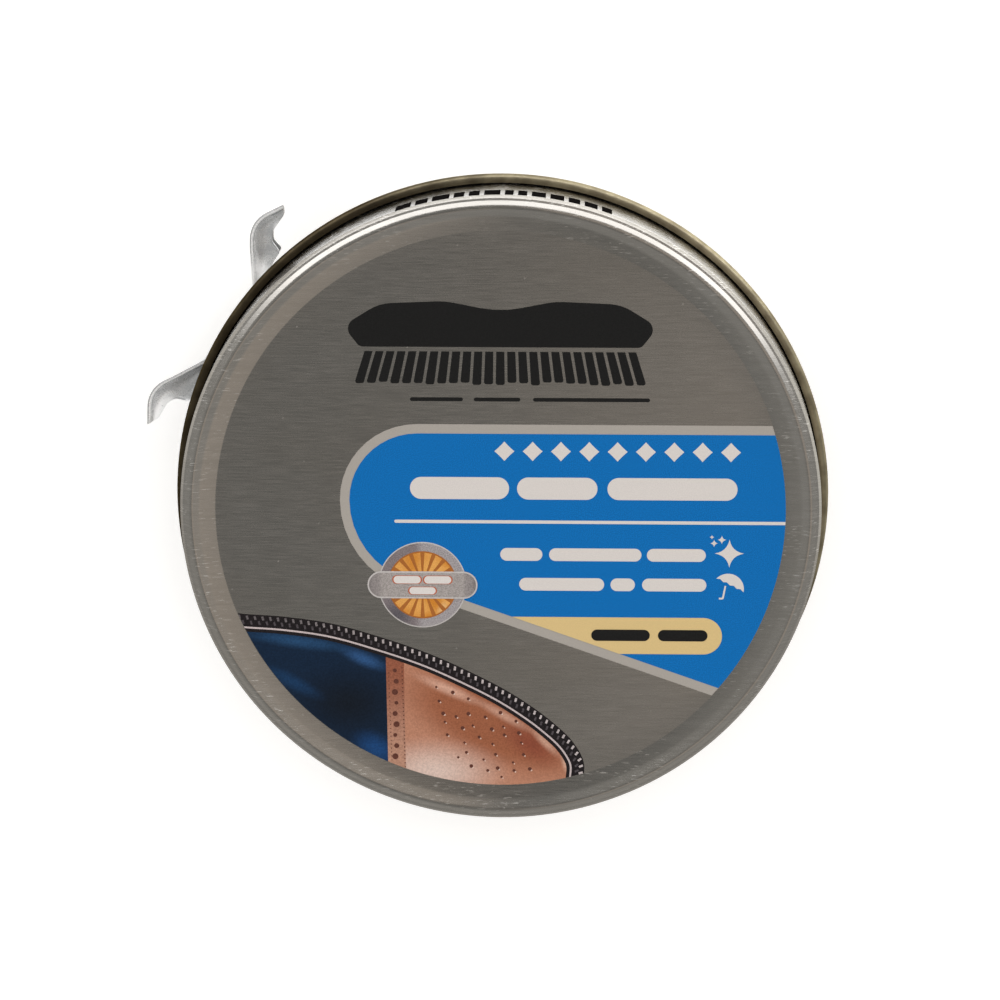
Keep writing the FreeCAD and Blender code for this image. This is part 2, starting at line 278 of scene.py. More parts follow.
def cut(piece, cutters, joined=()):
    """Joins solids to a piece, then takes the cutters' solids away, and keeps its materials."""
    for solid in (*joined, *cutters):
        modifier = piece.modifiers.new("cut", "BOOLEAN")
        modifier.operation = "UNION" if solid in joined else "DIFFERENCE"
        modifier.solver = "EXACT"
        modifier.object = solid
    bpy.context.view_layer.update()
    depsgraph = bpy.context.evaluated_depsgraph_get()
    made = bpy.data.meshes.new_from_object(piece.evaluated_get(depsgraph))
    old = piece.data
    piece.modifiers.clear()
    piece.data = made
    made.name = old.name
    bpy.data.meshes.remove(old)
    for solid in (*joined, *cutters):
        bpy.data.objects.remove(solid)


def opener_point(out, across, up=0.0):
    """A place given from the tin's axis and the rivet's axis, in the tin's frame."""
    cos, sin = math.cos(OPENER_BEARING), math.sin(OPENER_BEARING)
    return Vector((out * cos - across * sin, out * sin + across * cos, RIVET_LEVEL + up))


def side_faces(bm, near, far):
    """Faces between two closed rings of vertices."""
    for k in range(len(near)):
        k2 = (k + 1) % len(near)
        bm.faces.new((near[k], near[k2], far[k2], far[k]))


def rivet_rod(name, radius, out_from, out_to, count=64):
    """A rod about the rivet's axis, used to cut."""
    bm = bmesh.new()
    ends = [
        [bm.verts.new(opener_point(out, p.x, p.y)) for p in circle((0, 0), radius, count)]
        for out in (out_from, out_to)
    ]
    side_faces(bm, *ends)
    bm.faces.new(ends[0][::-1])
    bm.faces.new(ends[1])
    return finish_mesh(name, bm, [], None)


# ---- Materials ----


def srgb(red, green, blue):
    """The reflectance that shows as a display colour of 0 to 255 under the studio's light."""
    return tuple(
        (c / 255 / 12.92 if c / 255 <= 0.04045 else ((c / 255 + 0.055) / 1.055) ** 2.4) / STUDIO_LEVEL
        for c in (red, green, blue)
    )


class Finish:
    """A Principled material, with short names for the nodes that its surface detail needs."""

    def __init__(self, name, metallic=0.0, roughness=0.5, colour=(0.5, 0.5, 0.5), **sockets):
        self.material = bpy.data.materials.new(name)
        self.material.use_nodes = True
        self.tree = self.material.node_tree
        self.shader = self.tree.nodes["Principled BSDF"]
        self.set("Base Color", colour)
        self.set("Metallic", metallic)
        self.set("Roughness", roughness)
        for socket, value in sockets.items():
            self.set(socket.replace("_", " "), value)

    def set(self, socket, value):
        """Gives a socket of the shader a number, a colour, or another node's output."""
        self.feed(self.shader.inputs[socket], value)

    def feed(self, pin, value):
        if isinstance(value, bpy.types.NodeSocket):
            self.tree.links.new(value, pin)
        elif isinstance(value, (tuple, list)) and pin.type == "RGBA" and len(value) == 3:
            pin.default_value = (*value, 1)
        else:
            pin.default_value = value

    def node(self, kind, inputs=None, **settings):
        made = self.tree.nodes.new(kind)
        for key, value in settings.items():
            setattr(made, key, value)
        for pin, value in (inputs or {}).items():
            self.feed(made.inputs[pin], value)
        return made

    def place(self, scale=1.0, shift=(0, 0, 0), sheet=False):
        """Coordinates in millimetres times scale: the object's own, or those of the flat sheet."""
        scale = scale if isinstance(scale, tuple) else (scale,) * 3
        if sheet:
            source = self.node("ShaderNodeUVMap", uv_map="sheet").outputs["UV"]
        else:
            source = self.node("ShaderNodeTexCoord").outputs["Object"]
        inputs = {"Vector": source, "Scale": tuple(s / MM for s in scale), "Location": shift}
        return self.node("ShaderNodeMapping", inputs).outputs["Vector"]

    def noise(self, scale=1.0, detail=2.0, roughness=0.5, shift=(0, 0, 0), sheet=False, at=None):
        place = self.place(scale, shift, sheet) if at is None else at
        inputs = {"Vector": place, "Scale": 1.0, "Detail": detail, "Roughness": roughness}
        return self.node("ShaderNodeTexNoise", inputs).outputs["Fac"]

    def cells(self, scale, output="Distance", sheet=False):
        inputs = {"Vector": self.place(sheet=sheet), "Scale": scale}
        return self.node("ShaderNodeTexVoronoi", inputs).outputs[output]

    def span(self, value, low, high, to_low=0.0, to_high=1.0, smooth=True):
        """The value's way from low to high, as a number from to_low to to_high."""
        inputs = {"Value": value, "From Min": low, "From Max": high, "To Min": to_low, "To Max": to_high}
        kind = "SMOOTHSTEP" if smooth else "LINEAR"
        return self.node("ShaderNodeMapRange", inputs, interpolation_type=kind).outputs["Result"]

    def math(self, operation, a, b=0.0):
        return self.node("ShaderNodeMath", {0: a, 1: b}, operation=operation).outputs[0]

    def vector(self, operation, a, b=(0, 0, 0)):
        """The node of a vector operation, whose first output is a vector and whose second is a value."""
        return self.node("ShaderNodeVectorMath", {0: a, 1: b}, operation=operation)

    def times(self, a, b):
        return self.math("MULTIPLY", a, b)

    def plus(self, a, b, share):
        """a with a share of b on top."""
        return self.math("ADD", a, self.times(b, share))

    def blend(self, first, second):
        """The sum of two values, each given with its weight."""
        return self.math("ADD", self.times(*first), self.times(*second))

    def mix(self, share, a, b, blend="MIX"):
        """Colour a turning into colour b."""
        made = self.node("ShaderNodeMix", data_type="RGBA", blend_type=blend)
        for pin, value in ((0, share), (6, a), (7, b)):
            self.feed(made.inputs[pin], value)
        return made.outputs[2]

    def parts(self, vector):
        made = self.node("ShaderNodeSeparateXYZ", {0: vector})
        return made.outputs[0], made.outputs[1], made.outputs[2]

    def blob(self, centre, size, turn=0.0, softness=1.0):
        """1 at a place on the label, falling to 0 at an ellipse of the given half-sizes, in millimetres."""
        away = self.node(
            "ShaderNodeVectorRotate",
            {"Vector": self.place(), "Center": (*centre, 0), "Angle": -turn},
            rotation_type="Z_AXIS",
        ).outputs[0]
        away = self.vector("SUBTRACT", away, (*centre, 0)).outputs[0]
        away = self.vector("MULTIPLY", away, (1 / size[0], 1 / size[1], 0)).outputs[0]
        return self.span(self.vector("LENGTH", away).outputs["Value"], 1.0, 1.0 - softness)

    def dabs(self, paint, *dabs):
        """Soft dabs of colour over a paint, each as (centre, half-sizes, turn, display colour)."""
        for centre, size, turn, colour in dabs:
            paint = self.mix(self.blob(centre, size, turn), paint, srgb(*colour))
        return paint

    def bump(self, height, depth):
        """Relief of the given depth in millimetres for heights of 0 to 1."""
        inputs = {"Height": height, "Distance": depth * MM, "Strength": 1.0}
        return self.node("ShaderNodeBump", inputs).outputs["Normal"]

    def finished(self, colour, roughness, relief, depth):
        """Sets the colour, the roughness and a relief of the given depth, and gives the material."""
        self.set("Base Color", colour)
        self.set("Roughness", roughness)
        self.set("Normal", self.bump(relief, depth))
        return self.material


def brushed_tin():
    """Outside of the lid: plain tinplate brushed along X before it was pressed."""
    f = Finish("brushed_tinplate", metallic=1.0, roughness=0.25, Anisotropic=0.6)
    f.set("Tangent", f.node("ShaderNodeCombineXYZ", {0: 0.0, 1: 1.0, 2: 0.0}).outputs[0])
    hairs = f.noise((0.30, 8.0, 1), sheet=True, detail=4, roughness=0.65)
    bands = f.noise((0.045, 1.3, 1), sheet=True, detail=3)
    clouds = f.noise((0.05, 0.08, 1), shift=(3, 1, 0), sheet=True, detail=2)
    tone = f.blend((hairs, 0.75), (bands, 0.25))
    colour = f.mix(f.span(tone, 0.30, 0.70), (0.455, 0.445, 0.425), (0.575, 0.560, 0.540))
    colour = f.mix(f.span(clouds, 0.35, 0.7, 0.0, 0.35), colour, (0.50, 0.475, 0.44))

    # short bright scratches, in patches on the ring where the lid is handled
    radius = f.vector("LENGTH", f.place(sheet=True)).outputs["Value"]
    worn = f.span(f.noise((0.11, 0.11, 1), shift=(7, 2, 0), sheet=True), 0.40, 0.56)
    edge = f.span(radius, PANEL_RADIUS - 0.1, PANEL_RADIUS + 0.15, 0.12, 1.0)
    strokes = f.span(f.noise((0.75, 7.5, 1), shift=(1, 5, 0), sheet=True, detail=1), 0.64, 0.71)
    scratch = f.times(f.times(worn, edge), strokes)
    specks = f.span(f.cells(0.42, sheet=True), 0.055, 0.02)
    mark = f.math("MAXIMUM", scratch, f.times(specks, 0.7))
    colour = f.mix(mark, colour, (0.86, 0.85, 0.83))
    rough = f.plus(f.span(hairs, 0.2, 0.8, 0.20, 0.30), mark, 0.15)
    return f.finished(colour, rough, f.plus(hairs, mark, 0.8), 0.004)


def gold_lacquer(name, thin, thick, edge=(1, 1, 1), blur=0.0, side_shaded=False):
    """Inside of the sheet: clear gold lacquer with small dull spots. A flag adds painted shade over its left
    and painted light over its right.
    """
    f = Finish(name, metallic=1.0, roughness=0.3, Specular_Tint=edge)
    grain = f.noise(0.5, detail=4)
    fine = f.noise(3.0, detail=3)
    colour = f.mix(f.span(grain, 0.3, 0.7), thick, thin)
    if side_shaded:
        # painted shade darkens the left and painted light brightens the right, as the room's light falls
        # across the curl
        x, _, _ = f.parts(f.place())
        side_shade = f.mix(f.span(x, -20.0, 12.0), (0.30, 0.27, 0.25), (1.35, 1.36, 1.42))
        colour = f.mix(1.0, colour, side_shade, blend="MULTIPLY")
    specks = f.span(f.cells(0.8), 0.10, 0.04)
    spots_and_gleam = f.times(specks, f.span(grain, 0.45, 0.6))
    colour = f.mix(spots_and_gleam, colour, tuple(0.5 * c for c in thick))
    rough = f.span(fine, 0.25, 0.75, 0.24 + blur, 0.42 + blur)
    return f.finished(colour, rough, f.plus(grain, fine, 0.3), 0.02)


def drawn_tin():
    """Outside of the base: tinplate with fine upright draw marks on its wall."""
    f = Finish("drawn_tinplate", metallic=1.0, roughness=0.28)
    x, y, z = f.parts(f.place())
    bearing = f.times(f.math("ARCTAN2", y, x), BASE_RADIUS)
    around = f.node("ShaderNodeCombineXYZ", {0: bearing, 1: z}).outputs[0]
    drawn_out = f.node("ShaderNodeMapping", {"Vector": around, "Scale": (5.0, 0.12, 1)}).outputs[0]
    marks = f.noise(at=drawn_out, detail=4)
    clouds = f.noise(0.12, detail=3)
    tone = f.blend((marks, 0.6), (clouds, 0.4))
    colour = f.mix(f.span(tone, 0.3, 0.7), (0.62, 0.61, 0.59), (0.78, 0.77, 0.755))
    scuffs = f.span(f.noise((0.8, 0.8, 4.0), shift=(4, 4, 1), detail=2), 0.64, 0.70)
    colour = f.mix(f.times(scuffs, 0.6), colour, (0.82, 0.81, 0.79))
    rough = f.span(tone, 0.25, 0.75, 0.22, 0.38)
    return f.finished(colour, rough, f.plus(marks, clouds, 2.0), 0.004)


def zinc_plate():
    """Opener: mottled zinc plating with painted highlights in places, and painted shade lines and a painted
    highlight along its rolled rim.
    """
    f = Finish("zinc_plate", metallic=0.72, roughness=0.30)
    spangle = f.cells(1.6, output="Color")
    facet = f.node("ShaderNodeSeparateColor", {0: spangle}).outputs[0]
    mottle = f.noise(0.7, detail=6, roughness=0.8)
    fine = f.noise(4.5, detail=3, roughness=0.7)
    tone = f.plus(f.blend((facet, 0.12), (mottle, 0.33)), fine, 0.55)
    tone = f.span(tone, 0.39, 0.60)
    # painted highlights: soft bright patches on the wings, where the light falls brightest on them
    spots_and_gleam = f.blob((-27.2, 22.8), (3.1, 4.8), turn=0.25, softness=0.55)
    spots_and_gleam = f.math("MAXIMUM", spots_and_gleam, f.blob((-38.1, 8.2), (1.8, 3.6), turn=-0.25, softness=0.5))
    spots_and_gleam = f.math("MAXIMUM", spots_and_gleam, f.blob((-24.6, 29.8), (1.1, 1.3), softness=0.6))
    # along the rim: painted shade lines at its outer corner and in its groove, and a painted highlight on its
    # crest
    rim = f.node("ShaderNodeAttribute", attribute_name="rim").outputs["Fac"]
    corner, groove_shade, crest_highlight = (
        f.span(f.math("ABSOLUTE", f.math("SUBTRACT", rim, line)), fade, full)
        for line, fade, full in ((0.04, 0.14, 0.04), (0.58, 0.16, 0.06), (0.30, 0.16, 0.08))
    )
    bright = f.math("MAXIMUM", spots_and_gleam, f.times(crest_highlight, 0.6))
    shown = f.blend((tone, 0.55), (bright, 0.9))
    colour = f.mix(shown, (0.56, 0.575, 0.59), (0.99, 0.995, 1.0))
    # the painted shade lines are fainter under the painted highlights
    strength = f.math("SUBTRACT", 0.75, f.times(spots_and_gleam, 0.4))
    line = f.times(f.math("MAXIMUM", corner, groove_shade), strength)
    colour = f.mix(line, colour, (0.30, 0.31, 0.32))
    pits = f.span(f.noise(4.5, shift=(2, 0, 5), detail=2), 0.66, 0.74)
    colour = f.mix(f.times(pits, 0.6), colour, (0.25, 0.26, 0.27))
    # less metallic under the painted highlights, so the overhead lamp brightens them
    f.set("Metallic", f.span(bright, 0.0, 1.0, 0.58, 0.0, smooth=False))
    rough = f.span(tone, 0.0, 1.0, 0.44, 0.26)
    return f.finished(colour, rough, f.plus(mottle, fine, 0.5), 0.035)


def bright_steel():
    """Rivet: nickel-bright steel with a soft mottle and small dents."""
    f = Finish("bright_steel", metallic=1.0, roughness=0.24)
    mottle = f.noise(2.2, detail=4)
    fine = f.noise(9, detail=2)
    colour = f.mix(f.span(mottle, 0.3, 0.7), (0.52, 0.51, 0.50), (0.70, 0.69, 0.67))
    rough = f.span(fine, 0.25, 0.75, 0.18, 0.34)
    return f.finished(colour, rough, f.plus(mottle, fine, 0.2), 0.02)


def wax():
    """Neutral wax polish: pale, slightly clear, with a soft skin and faint ripples from setting."""
    f = Finish("neutral_wax", roughness=0.38, Subsurface_Weight=0.35, Subsurface_Scale=0.0015)
    f.set("Subsurface Radius", (1.0, 0.75, 0.45))
    clouds = f.noise(0.07, detail=4)
    fine = f.noise(1.6, detail=4)
    colour = f.mix(f.span(clouds, 0.3, 0.7), (0.80, 0.70, 0.50), (0.88, 0.81, 0.64))
    bloom = f.span(f.noise(0.5, shift=(5, 2, 0), detail=5), 0.52, 0.72, 0.0, 0.5)
    colour = f.mix(bloom, colour, (0.90, 0.87, 0.78))
    rough = f.span(fine, 0.2, 0.8, 0.28, 0.52)
    return f.finished(colour, rough, f.plus(fine, clouds, 3.0), 0.03)


def ink(name, colour, spread=0.12, roughness=0.42, dot=9.0, **sockets):
    """Litho ink on tin: a colour, or what a function paints, broken by fine print grain."""
    f = Finish("ink_" + name, roughness=roughness, Specular_IOR_Level=0.12, **sockets)
    grain = f.noise(dot, detail=2, roughness=0.6)
    flow = f.noise((0.25, 0.9, 0.25), detail=2)
    paint = colour(f) if callable(colour) else colour
    light, dark = (f.mix(1.0, paint, (1 + way * spread,) * 3, blend="MULTIPLY") for way in (1, -1))
    colour = f.mix(f.span(grain, 0.30, 0.70), dark, light)
    rough = f.span(flow, 0.3, 0.7, roughness - 0.05, roughness + 0.07)
    return f.finished(colour, rough, f.math("ADD", grain, flow), 0.0015)


# ---- Tin ----

BRUSHED, DRAWN = brushed_tin(), drawn_tin()
LACQUER = gold_lacquer("gold_lacquer", (0.66, 0.60, 0.43), (0.56, 0.50, 0.33))
# The curl's copy of the gold lacquer is darker and browner: painted shade, for a curl that reflects the dim
# room
SHADED_CURL_LACQUER = gold_lacquer(
    "shaded_curl_lacquer", (0.32, 0.285, 0.19), (0.19, 0.165, 0.11), edge=(0.5, 0.45, 0.35), blur=0.08, side_shaded=True
)


def edge_wobble(radius, level, bearing):
    """The slight waviness that pressing leaves in the lid's ridge and shoulder."""
    share = clamp(radius - 33.2) * clamp((level - 18.0) / 3.0)
    wave = math.sin(5 * bearing + 0.7) + 0.7 * math.sin(13 * bearing + 2.1) + 0.5 * math.sin(23 * bearing)
    drop = 0.012 * share * (wave - 2.2) * (1.5 - (radius - 34.3))
    return radius, level + drop


def build_lid():
    """One pressed sheet: panel, conical ring, ridge, chamfered shoulder, skirt, and outward curl."""
    run = rounded(
        [
            (0, PANEL_LEVEL),
            (PANEL_RADIUS, PANEL_LEVEL, 0.25),
            (33.15, PANEL_LEVEL + 0.22, 1.2),
            (34.2, 22.1, 0.5),
            (34.86, 21.5, 0.08),
            (35.1, 21.38, 0.06),
            (LID_RADIUS, 21.0, 0.1),
            (LID_RADIUS, LID_CURL_LEVEL),
        ]
    )
    steps = [Vector((PANEL_RADIUS * k / 12, PANEL_LEVEL)) for k in range(12)]
    skirt = [Vector((LID_RADIUS, LID_CURL_LEVEL + (20.6 - LID_CURL_LEVEL) * (1 - k / 8))) for k in range(8)]
    curl_centre = (LID_RADIUS + LID_CURL_BEND, LID_CURL_LEVEL)
    curl = arc(curl_centre, LID_CURL_BEND - 0.004, math.pi, math.radians(295), math.radians(15))
    section, finishes, reach = sheet_section(steps + run[1:-1] + skirt + curl, gauge_side=-1)
    # the lacquered face of the outward curl takes the darker copy of the lacquer, with its painted shade
    finishes = [2 if f == 1 and r > LID_RADIUS - 0.1 else f for f, (r, _) in zip(finishes, section)]
    materials = [BRUSHED, LACQUER, SHADED_CURL_LACQUER]
    lid = lathe("lid_pressing", section, finishes, reach, materials, "lid", shift=edge_wobble)
    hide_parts("lid_shell")


def build_base():
    """One drawn sheet: recessed bottom, stand ring, rounded foot, wall, and inward rim curl."""
    run = rounded(
        [
            (0, BOTTOM_RECESS),
            (BOTTOM_RADIUS, BOTTOM_RECESS, 0.3),
            (31.0, 0, 0.5),
            (BASE_RADIUS, 0, FOOT_BEND),
            (BASE_RADIUS, RIM_CURL_LEVEL),
        ]
    )
    steps = [Vector((BOTTOM_RADIUS * k / 8, BOTTOM_RECESS)) for k in range(8)]
    foot = FOOT_BEND + 0.1
    wall = [Vector((BASE_RADIUS, foot + (RIM_CURL_LEVEL - foot) * k / 12)) for k in range(12)]
    curl_centre = (BASE_RADIUS - RIM_CURL_BEND, RIM_CURL_LEVEL)
    curl = arc(curl_centre, RIM_CURL_BEND, 0, math.radians(270), math.radians(15))
    section, finishes, reach = sheet_section(steps + run[1:-1] + wall + curl, gauge_side=1)
    base = lathe("base_drawing", section, finishes, reach, [DRAWN, LACQUER], "base")
    cut(base, [rivet_rod("tenon_hole", TENON_HOLE_RADIUS, 34.0, 36.0)])
    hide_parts("base_shell")


def wax_ripple(radius, level, bearing):
    """Shallow rings and hollows that polish sets with."""
    if level < WAX_LEVEL - 0.5:
        return radius, level
    rings = 0.05 * math.sin(radius * 0.9 + 0.8 * math.sin(2 * bearing)) * (radius / WAX_RADIUS)
    hollows = 0.04 * math.sin(3 * bearing + radius * 0.25) * math.sin(math.pi * radius / WAX_RADIUS)
    return radius, level + min(0.0, rings + hollows - 0.05) if radius < 33 else level


def build_wax():
    """The polish as it set, with a raised edge at the wall and a hollow round the rivet's clinch."""
    corners = [
        (0, 0.75),
        (30.6, 0.75, 0.3),
        (31.2, 0.31, 0.3),
        (WAX_RADIUS, 0.31, 2.29),
        (WAX_RADIUS, WAX_LEVEL + 0.62, 0.06),
        (WAX_RADIUS - 0.9, WAX_LEVEL + 0.12, 1.2),
        (0, WAX_LEVEL),
    ]
    run = rounded(corners)
    top = [Vector((33.2 * (1 - k / 44), WAX_LEVEL + 0.12 * (1 - k / 44))) for k in range(44)]
    section = [tuple(p) for p in run[:-1] + top + [run[-1]]]
    travelled = lengths([Vector(p) for p in section])
    cake = lathe("polish_cake", section, [0] * len(section), travelled, [wax()], "base", 160, wax_ripple)
    cut(cake, [rivet_rod("clinch_room", CLINCH_ROOM_RADIUS, CLINCH_ROOM_FACE, 37.0)])
    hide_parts("wax_cake")


# ---- Twist opener ----


def wing_stations(side):
    """Pairs of points (outer rim, free edge) from the rivet's axis to one wing's tip. side is -1 or 1."""
    face, back, half = PLATE_FACE, PLATE_FACE - KEY_GAUGE, PLATE_HALF_WIDTH
    rim = rounded([(face, half), (face, 4.4, 0.8), (40.05, 11.17, 3.4), (37.9, 14.72)])
    edge = rounded([(back, half), (back, 10.0, 0.4), (36.75, 10.5, 0.9), (37.25, 11.4, 1.0), (37.2, 13.65)])
    plate = [(Vector((face, half * k / 6)), Vector((back, half * k / 6))) for k in range(6)]
    wing = list(zip(resampled(rim, 52), resampled(edge, 52)))
    pairs = plate + wing
    travelled = lengths([outer for outer, _ in pairs])
    out = []
    for (outer, inner), far in zip(pairs, travelled):
        share = clamp((far - half) / 6.0)
        skew = Vector((-0.2 * side * share, WING_SKEW * share))
        mirror = Vector((1, side))
        along = max(0.0, (far - 4.0) / (travelled[-1] - 4.0))
        out.append((outer * mirror + skew, inner * mirror + skew, along))
    return out


def wing_section(width, share):
    """Outer and inner faces of the pressing as (distance in from the rim, height) pairs.

    A square rim stands round a dished upper face. The web leans inwards as it goes down to a lower flange.
    share is 0 at the plate and 1 at the tip.
    """
    eased = share * share / (share + 0.07) * 1.07
    top, bottom = KEY_HALF_HEIGHT, -KEY_HALF_HEIGHT + 4.4 * math.sin(eased * math.pi / 2)
    room = max(0.0, width - KEY_GAUGE)
    step, dish = 0.40 * min(1.0, room / 0.8), 0.62 * min(1.0, room / 2.0)
    lean = min(0.30 * min(1.0, 4 * share), max(0.0, width - 0.7) / (top - bottom))
    faces = []
    for gauge in (0.0, KEY_GAUGE):
        face = []
        for k in range(9):
            s = 1 - k / 8
            sag = step + dish * 4 * s * (1 - s) + 0.1 * s * step
            face.append((KEY_GAUGE + 0.12 * min(1.0, room) * (1 - s) + room * s, top - sag - gauge))
        if gauge:
            face += [face[-1]] * 4
        else:
            face += [(KEY_GAUGE * 0.86, top - 0.08), (KEY_GAUGE * 0.70, top)]
            face += [(KEY_GAUGE * 0.28, top), (0.0, top - 0.14)]
        foot = bottom + gauge
        bend = 0.55 if not gauge else 0.2
        high = top - 1.0 - gauge
        for k in range(5):
            height = high + (foot + bend - high) * k / 4
            face.append((gauge + lean * (top - height), height))
        corner = gauge + lean * (top - foot - bend)
        for k in range(1, 5):
            angle = math.pi / 2 * k / 4
            reach = min(bend, max(0.0, width - corner))
            face.append((corner + reach * (1 - math.cos(angle)), foot + bend * (1 - math.sin(angle))))
        face.append((max(width, corner + min(bend, room)), foot))
        faces.append(face)
    return faces


def build_key():
    """Pressed steel: a plate on the rivet, and two wings of channel section that step out past the curl."""
    bm = bmesh.new()
    rim_distance = bm.verts.layers.float.new("rim")
    stations = wing_stations(-1)[:0:-1] + wing_stations(1)
    rings = []
    for rim, free, share in stations:
        inward = (free - rim).normalized()
        outer, inner = wing_section((free - rim).length, share)
        loop = []
        for distance, height in outer + inner[::-1]:
            at = rim + inward * distance
            loop.append(bm.verts.new(opener_point(at.x, at.y, height)))
            loop[-1][rim_distance] = distance if height > KEY_HALF_HEIGHT - 0.6 and share > 0.02 else -1.0
        rings.append(loop)
    count = len(rings[0])
    for near, far in zip(rings, rings[1:]):
        side_faces(bm, near, far)
    half = count // 2
    for ring in (rings[0], rings[-1]):
        for k in range(half - 1):
            bm.faces.new((ring[k], ring[k + 1], ring[count - 2 - k], ring[count - 1 - k]))
    bmesh.ops.remove_doubles(bm, verts=bm.verts, dist=2e-4)
    bmesh.ops.dissolve_degenerate(bm, edges=bm.edges, dist=2e-4)
    key = finish_mesh("opener_pressing", bm, [zinc_plate()], "opener", KEY_SMOOTH_ANGLE)
    boss = rivet_rod("boss", BOSS_RADIUS, PLATE_FACE - KEY_GAUGE - BOSS_HEIGHT, PLATE_FACE - 0.1)
    seat = rivet_rod("seat", SEAT_RADIUS, PLATE_FACE - BOSS_HEIGHT, PLATE_FACE + 1)
    hole = rivet_rod("pivot_hole", PIVOT_HOLE_RADIUS, PLATE_FACE - 2, PLATE_FACE + 1)
    cut(key, [seat, hole], joined=[boss])
    smooth(key.data, KEY_SMOOTH_ANGLE)
    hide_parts("opener_key")


# ---- Printed label ----

PRINT_WINDOW = circle((0, 0), PANEL_RADIUS - 0.06, 240)
INK_FILM = 0.012
LAYER = 0.016
PANEL_BORDER = 1.05
FOOT_TILT = math.radians(-19.4)
BEYOND_RIGHT = 36


def slab(name, outlines, layer, material):
    """One film of ink on the lid's panel, made of outlines cut off at the print circle."""
    bm = bmesh.new()
    low = PANEL_LEVEL + 0.004 + LAYER * layer
    for outline in outlines:
        shape = clipped(outline, PRINT_WINDOW)
        if len(shape) < 3:
            continue
        bottom = [bm.verts.new((p.x, p.y, low)) for p in shape]
        top = [bm.verts.new((p.x, p.y, low + INK_FILM)) for p in shape]
        bm.faces.new(bottom[::-1])
        bm.faces.new(top)
        side_faces(bm, bottom, top)
    piece = finish_mesh(name, bm, [material], "lid")
    return piece


def panel_foot(x, inset):
    """Level of the colour panel's diagonal foot."""
    return -10.9 + math.tan(FOOT_TILT) * (x + 4.7) + inset / math.cos(FOOT_TILT)


def panel_outline(inset):
    """The colour panel: a level top, a round left end and a diagonal foot. It runs out to the right."""
    left, top = -17.7 + inset, 9.95 - inset
    return rounded(
        [
            (BEYOND_RIGHT, top),
            (left, top, 8.6 - inset),
            (left, panel_foot(left, inset), 10.8 - inset),
            (BEYOND_RIGHT, panel_foot(BEYOND_RIGHT, inset)),
        ]
    )


def brush_mark():
    """A shoe brush seen from the side: a wooden back over a row of tufts."""
    half = [(15.4, 18.6, 0.8), (17.2, 20.9, 1.2), (13.2, 23.4, 5.0), (6.0, 23.7, 8.0)]
    left = [(-x, y, bend) for x, y, bend in half[::-1]]
    back = rounded([left[-1], *half, (0.0, 22.5, 12.0), *left[:-1]], closed=True)
    pick = random.Random(11)
    tufts, count = [], 25
    for k in range(count):
        top = -14.4 + 28.8 * k / (count - 1)
        foot = top * 1.075
        length = 14.35 + pick.uniform(0.0, 0.35)
        end = [(foot - 0.50, length, 0.25), (foot + 0.50, length, 0.25)]
        tufts.append(rounded([(top - 0.44, 18.1), *end, (top + 0.44, 18.1)]))
    return [back] + tufts


def word_row(words, middle, height):
    """Plain bars where a line of words would stand."""
    return [bar(left, right, middle, height) for left, right in words]


def star(centre, size, waist=0.3):
    """A four-pointed sparkle with hollow sides."""
    points = []
    for k in range(4):
        tip, nxt = (direction(TURN * n / 4) * size for n in (k, k + 1))
        middle = (tip + nxt) * 0.5 * waist
        for s in range(6):
            t = s / 6
            points.append(Vector(centre) + tip * (1 - t) ** 2 + middle * 2 * t * (1 - t) + nxt * t * t)
    return points


def build_panel_print():
    silver = ink("silver", srgb(178, 172, 165), spread=0.06, roughness=0.38)
    blue = ink("blue", srgb(10, 114, 191), spread=0.22)
    white = ink("white", srgb(228, 222, 218), spread=0.05)
    black = ink("black", srgb(30, 30, 30), spread=0.25, roughness=0.5)
    cream = ink("cream", srgb(228, 200, 142), spread=0.05)
    slab("print_border", [panel_outline(0.0)], 0, silver)
    slab("print_panel", [panel_outline(PANEL_BORDER)], 1, blue)

    whites = [bar(-11.7, BEYOND_RIGHT, -1.05, 0.36)]
    whites += [star((0.45 + 3.11 * k, 6.95), 1.1, waist=0.92) for k in range(9)]
    whites += word_row([(-9.95, 0.97), (1.85, 10.7), (11.8, 26.1)], 2.75, 2.5)
    whites += word_row([(0.0, 4.65), (5.4, 15.6), (16.2, 22.7)], -4.75, 1.45)
    whites += word_row([(2.1, 11.5), (12.2, 14.9), (15.7, 22.8)], -8.15, 1.45)
    whites += [star((25.3, -4.5), 1.6)]
    whites += [star((23.6, -3.35), 0.42), star((24.45, -2.95), 0.48), star((23.35, -2.65), 0.26)]
    canopy = arc((25.2, -8.55), 1.75, math.radians(-12), math.radians(150))
    scallops = []
    for k in range(4):
        a = canopy[-1].lerp(canopy[0], (k + 0.5) / 4)
        scallops += [canopy[-1].lerp(canopy[0], k / 4), a + Vector((0.05, 0.16))]
    whites.append(canopy + scallops)
    shaft_left = [(25.0, -8.2), (24.72, -9.75, 0.2), (24.2, -9.75)]
    shaft_right = [(24.2, -9.55), (24.55, -9.55, 0.1), (24.82, -8.2)]
    whites.append(rounded(shaft_left + shaft_right))
    slab("print_words", whites, 2, white)

    foot = [Vector((x, panel_foot(x, PANEL_BORDER))) for x in (-20, 40)]
    pill = clipped(bar(-12, 24.6, -14.0, 4.2), foot + [Vector((40, 20)), Vector((-20, 20))])
    slab("print_shade_band", [pill], 2, cream)
    blacks = brush_mark()
    blacks += word_row([(-9.9, -4.1), (-2.9, 2.2), (3.6, 16.4)], 12.75, 0.42)
    slab("print_black", blacks, 0, black)
    slab("print_shade_words", word_row([(10.1, 16.6), (17.5, 23.0)], -13.95, 1.3), 3, black)


